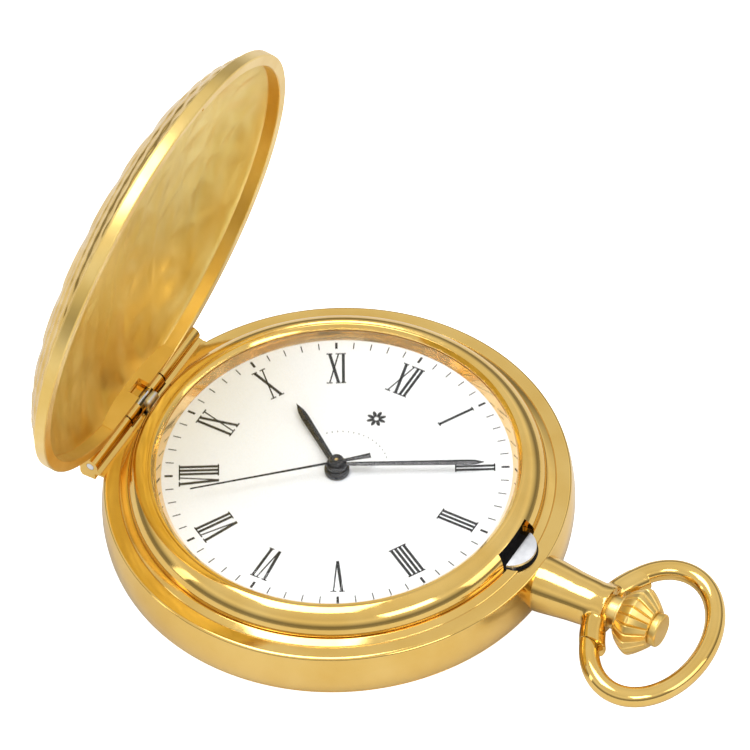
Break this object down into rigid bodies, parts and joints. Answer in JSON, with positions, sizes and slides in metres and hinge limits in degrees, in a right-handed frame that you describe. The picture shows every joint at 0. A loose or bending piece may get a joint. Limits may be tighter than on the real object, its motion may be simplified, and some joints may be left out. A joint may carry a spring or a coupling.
{
  "type": "pocket watch",
  "caption": "Hunter-case pocket watch with hinged front cover, push-release crown, oval bow and Roman dial.",
  "frame": {"origin": "middle of the flat on the case back, on which the watch lies", "axes": "+Z out of the dial, +X along the crown (3 o'clock), +Y towards 12 o'clock; cover open"},
  "size_m": [0.0694, 0.0484, 0.0542],
  "materials": {
    "gold": "polished yellow gold plate",
    "gold_satin": "satin yellow gold plate",
    "crystal": "clear domed crystal",
    "dial": "silver-white, fine grained",
    "black": "black lacquer",
    "steel": "polished steel",
    "brass": "gilt brass",
    "nickel": "nickel plate, striped",
    "blued": "blued steel",
    "ruby": "synthetic ruby",
    "seal": "black rubber"
  },
  "bodies": {
    "case": {"case_band": "gold", "hinge_plate": "gold", "hinge_pin": "steel", "case_back": "gold", "bezel": "gold", "crystal": "crystal", "flange_ring": "gold", "pendant": "gold", "dial": "dial", "movement_ring": "nickel", "mainplate": "nickel", "barrel_bridge": "nickel", "train_bridge": "nickel", "balance_cock": "nickel", "pallet_bridge": "nickel", "bridge_screws": "blued", "movement_clamps": "steel", "jewels": "ruby", "crown_wheel_core": "steel", "click_screw": "blued", "minute_wheel_post": "steel", "setting_wheel_post": "steel", "lever_posts": "steel", "hairspring": "blued", "mainspring": "steel"},
    "cover": {"front_cover": "gold_satin", "cover_knuckles": "gold"},
    "lift_spring": {"lift_spring": "steel"},
    "latch": {"latch_spring": "steel"},
    "bow": {"bow": "gold"},
    "plunger": {"crown_plunger": "gold"},
    "gasket": {"crown_gasket": "seal"},
    "crown": {"crown": "gold", "crown_cap": "gold"},
    "winding_pinion": {"winding_pinion": "steel"},
    "stem": {"winding_stem": "steel"},
    "clutch": {"sliding_pinion": "steel"},
    "setting_lever": {"setting_lever": "steel"},
    "yoke": {"yoke": "steel"},
    "crown_wheel": {"crown_wheel": "steel"},
    "ratchet": {"ratchet_wheel": "steel", "ratchet_screw": "blued", "barrel_arbor": "steel"},
    "click": {"click": "steel"},
    "barrel": {"barrel_drum": "brass", "barrel_cover": "brass"},
    "centre": {"centre_wheel": "brass", "cannon_pinion": "steel", "minute_hand": "black"},
    "third": {"third_wheel": "brass"},
    "seconds": {"seconds_wheel": "brass", "seconds_hand": "black"},
    "escape": {"escape_wheel": "steel"},
    "pallet": {"pallet_fork": "steel"},
    "balance": {"balance_wheel": "brass"},
    "minute_wheel": {"minute_wheel": "brass"},
    "hour": {"hour_wheel": "brass", "hour_hand": "black"},
    "setting_wheel": {"setting_wheel": "steel"}
  },
  "joints": [
    {"name": "cover_hinge", "type": "hinge", "parent": "case", "child": "cover", "pos_m": [-0.0231, 0, 0.0079], "axis": [0, -1, 0], "range_deg": [-80, 0], "stiffness_Nm_per_rad": 0.004, "springref_deg": 40.11},
    {"name": "lift_spring_flex", "type": "slide", "parent": "case", "child": "lift_spring", "axis": [0, 0, 1], "range_m": [-0.0004, 0]},
    {"name": "bow_swing", "type": "hinge", "parent": "case", "child": "bow", "pos_m": [0.03215, 0, 0.00465], "axis": [0, -1, 0], "range_deg": [-88, 112]},
    {"name": "crown_press", "type": "slide", "parent": "case", "child": "plunger", "axis": [1, 0, 0], "range_m": [-0.0007, 0], "stiffness_N_per_m": 1500},
    {"name": "latch_flex", "type": "slide", "parent": "case", "child": "latch", "axis": [1, 0, 0], "range_m": [-0.0007, 0]},
    {"name": "crown_pull", "type": "slide", "parent": "plunger", "child": "gasket", "axis": [1, 0, 0], "range_m": [0, 0.001]},
    {"name": "crown_turn", "type": "hinge", "parent": "gasket", "child": "crown", "pos_m": [0.026, 0, 0.00465], "axis": [1, 0, 0], "continuous": true},
    {"name": "winding_pinion_turn", "type": "hinge", "parent": "case", "child": "winding_pinion", "pos_m": [0.01, 0, 0.00465], "axis": [1, 0, 0], "continuous": true},
    {"name": "stem_pull", "type": "slide", "parent": "winding_pinion", "child": "stem", "axis": [1, 0, 0], "range_m": [0, 0.001]},
    {"name": "clutch_shift", "type": "slide", "parent": "winding_pinion", "child": "clutch", "axis": [1, 0, 0], "range_m": [-0.001, 0]},
    {"name": "setting_lever_turn", "type": "hinge", "parent": "case", "child": "setting_lever", "pos_m": [0.0118, 0.00301, 0.0071], "axis": [0, 0, 1], "range_deg": [0, 24.06]},
    {"name": "yoke_turn", "type": "hinge", "parent": "case", "child": "yoke", "pos_m": [0.00802, 0.00491, 0.0071], "axis": [0, 0, 1], "range_deg": [-14.74, 0]},
    {"name": "crown_wheel_turn", "type": "hinge", "parent": "case", "child": "crown_wheel", "pos_m": [0.00612, 0, 0.00286], "axis": [0, 0, 1], "continuous": true},
    {"name": "ratchet_turn", "type": "hinge", "parent": "case", "child": "ratchet", "pos_m": [0.00115, 0.0065, 0.00286], "axis": [0, 0, 1], "continuous": true},
    {"name": "click_turn", "type": "hinge", "parent": "case", "child": "click", "pos_m": [-0.0049, 0.00999, 0.00286], "axis": [0, 0, 1], "range_deg": [0, 8], "stiffness_Nm_per_rad": 0.00001},
    {"name": "minute_turn", "type": "hinge", "parent": "case", "child": "centre", "pos_m": [0, 0, 0.007], "axis": [0, 0, 1], "continuous": true},
    {"name": "barrel_turn", "type": "hinge", "parent": "case", "child": "barrel", "pos_m": [0.00115, 0.0065, 0.0055], "axis": [0, 0, 1], "continuous": true},
    {"name": "third_turn", "type": "hinge", "parent": "case", "child": "third", "pos_m": [-0.00507, -0.00185, 0.004], "axis": [0, 0, 1], "continuous": true},
    {"name": "seconds_turn", "type": "hinge", "parent": "case", "child": "seconds", "pos_m": [0, 0, 0.004], "axis": [0, 0, 1], "continuous": true},
    {"name": "escape_turn", "type": "hinge", "parent": "case", "child": "escape", "pos_m": [-0.00136, -0.00508, 0.0047], "axis": [0, 0, 1], "continuous": true},
    {"name": "minute_wheel_turn", "type": "hinge", "parent": "case", "child": "minute_wheel", "pos_m": [0.00279, -0.00195, 0.0074], "axis": [0, 0, 1], "continuous": true},
    {"name": "hour_turn", "type": "hinge", "parent": "case", "child": "hour", "pos_m": [0, 0, 0.008], "axis": [0, 0, 1], "continuous": true},
    {"name": "setting_wheel_turn", "type": "hinge", "parent": "case", "child": "setting_wheel", "pos_m": [0.00614, -0.001, 0.0074], "axis": [0, 0, 1], "continuous": true},
    {"name": "pallet_rock", "type": "hinge", "parent": "case", "child": "pallet", "pos_m": [0.00172, -0.00599, 0.005], "axis": [0, 0, 1], "range_deg": [-5, 5]},
    {"name": "balance_swing", "type": "hinge", "parent": "case", "child": "balance", "pos_m": [0.0048, -0.0069, 0.004], "axis": [0, 0, 1], "range_deg": [-270, 270], "stiffness_Nm_per_rad": 0.00000026}
  ],
  "couplings": [
    {"joint": "lift_spring_flex", "follows": "cover_hinge", "m_per_rad": 0.0002865},
    {"joint": "latch_flex", "follows": "crown_press", "ratio": 1},
    {"joint": "winding_pinion_turn", "follows": "crown_turn", "ratio": 1},
    {"joint": "stem_pull", "follows": "crown_pull", "ratio": 1},
    {"joint": "clutch_shift", "follows": "crown_pull", "ratio": -1},
    {"joint": "setting_lever_turn", "follows": "crown_pull", "rad_per_m": 419.74},
    {"joint": "yoke_turn", "follows": "crown_pull", "rad_per_m": -257.12},
    {"joint": "crown_wheel_turn", "follows": "crown_turn", "ratio": 0.42308},
    {"joint": "ratchet_turn", "follows": "crown_turn", "ratio": -0.36667},
    {"joint": "barrel_turn", "follows": "minute_turn", "ratio": -0.16667},
    {"joint": "third_turn", "follows": "minute_turn", "ratio": -8},
    {"joint": "seconds_turn", "follows": "minute_turn", "ratio": 60},
    {"joint": "escape_turn", "follows": "minute_turn", "ratio": -600},
    {"joint": "minute_wheel_turn", "follows": "minute_turn", "ratio": -0.33333},
    {"joint": "hour_turn", "follows": "minute_turn", "ratio": 0.083333},
    {"joint": "setting_wheel_turn", "follows": "minute_turn", "ratio": 0.90909}
  ]
}
